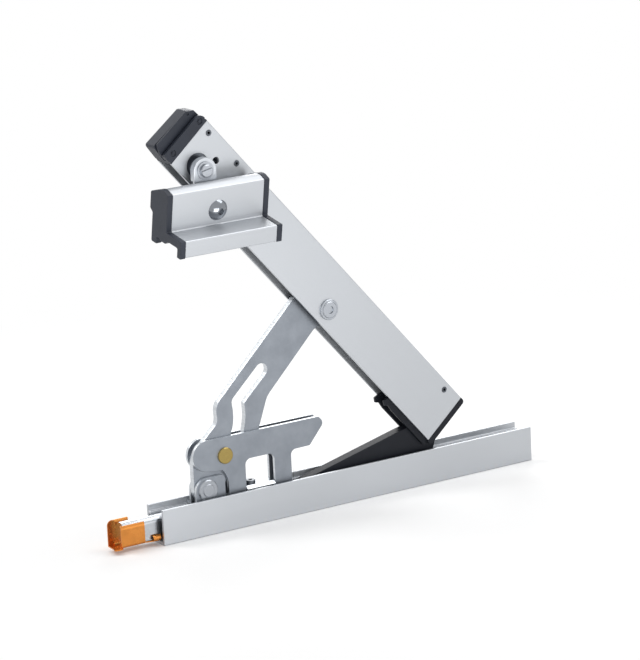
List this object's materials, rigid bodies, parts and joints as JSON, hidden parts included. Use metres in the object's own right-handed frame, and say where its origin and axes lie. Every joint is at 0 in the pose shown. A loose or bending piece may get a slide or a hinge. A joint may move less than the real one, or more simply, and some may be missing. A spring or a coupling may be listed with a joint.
{
  "type": "fanlight scissor stay",
  "caption": "Surface-mounted scissor stay for a fanlight: a rod-driven lever and folding arm push a tilting sash bracket straight out from a base rail.",
  "frame": {"origin": "middle of the base rail's back face", "axes": "+X along the rail towards the arm's foot, +Z out of the frame in the opening direction, +Y across the rail, away from the sash bracket"},
  "size_m": [0.2773, 0.0476, 0.2348],
  "materials": {
    "anodised_aluminium": "satin anodised",
    "zinc_plated_steel": "bright zinc plated sheet",
    "bright_steel": "polished, turned",
    "dark_steel": "plain",
    "brass": "turned",
    "copper_clip": "copper-coloured coated spring steel",
    "black_plastic": "moulded, fine grain"
  },
  "bodies": {
    "rail": {"base_rail": "anodised_aluminium", "bearing_bracket": "zinc_plated_steel", "bearing_rivets": "bright_steel", "lever_pin": "bright_steel"},
    "lever": {"lever": "zinc_plated_steel"},
    "carriage": {"slide_carriage": "zinc_plated_steel", "cam_pin": "brass", "clamp_bar": "bright_steel", "clamp_screw": "dark_steel", "drive_rod": "bright_steel", "rod_clip": "copper_clip"},
    "arm": {"arm_profile": "anodised_aluminium", "arm_top_cap": "black_plastic", "arm_foot_insert": "black_plastic", "top_cap_pins": "dark_steel", "foot_insert_pin": "dark_steel", "arm_pin": "bright_steel", "arm_spacers": "bright_steel", "shoe_pin": "dark_steel", "stud_bush": "dark_steel", "pivot_stud": "bright_steel"},
    "shoe": {"glide_shoe": "black_plastic"},
    "ear": {"ear_plate": "zinc_plated_steel", "stud_washer": "bright_steel"},
    "bracket": {"bracket_profile": "anodised_aluminium", "bracket_cap_left": "black_plastic", "bracket_cap_right": "black_plastic", "dome_screw": "bright_steel", "bracket_nut": "dark_steel"}
  },
  "joints": [
    {"name": "lever_swing", "type": "hinge", "parent": "rail", "child": "lever", "pos_m": [-0.0921, 0, 0.0242], "axis": [0, 1, 0], "range_deg": [0, 42.89]},
    {"name": "carriage_slide", "type": "slide", "parent": "rail", "child": "carriage", "axis": [1, 0, 0], "range_m": [0, 0.036]},
    {"name": "arm_fold", "type": "hinge", "parent": "lever", "child": "arm", "pos_m": [-0.01023, 0, 0.11261], "axis": [0, 1, 0], "range_deg": [-92, 0]},
    {"name": "shoe_turn", "type": "hinge", "parent": "arm", "child": "shoe", "pos_m": [0.05852, 0, 0.03325], "axis": [0, 1, 0], "range_deg": [0, 49.1]},
    {"name": "ear_turn", "type": "hinge", "parent": "arm", "child": "ear", "pos_m": [-0.08912, 0, 0.20369], "axis": [0, 1, 0], "range_deg": [0, 49.1]},
    {"name": "bracket_tilt", "type": "hinge", "parent": "ear", "child": "bracket", "pos_m": [-0.08912, -0.0137, 0.19149], "axis": [1, 0, 0], "range_deg": [-11, 0]}
  ],
  "couplings": [
    {"joint": "carriage_slide", "follows": "lever_swing", "m_per_rad": 0.048088},
    {"joint": "arm_fold", "follows": "lever_swing", "ratio": -2.1447},
    {"joint": "shoe_turn", "follows": "lever_swing", "ratio": 1.1447},
    {"joint": "ear_turn", "follows": "lever_swing", "ratio": 1.1447},
    {"joint": "bracket_tilt", "follows": "lever_swing", "ratio": -0.25645}
  ]
}
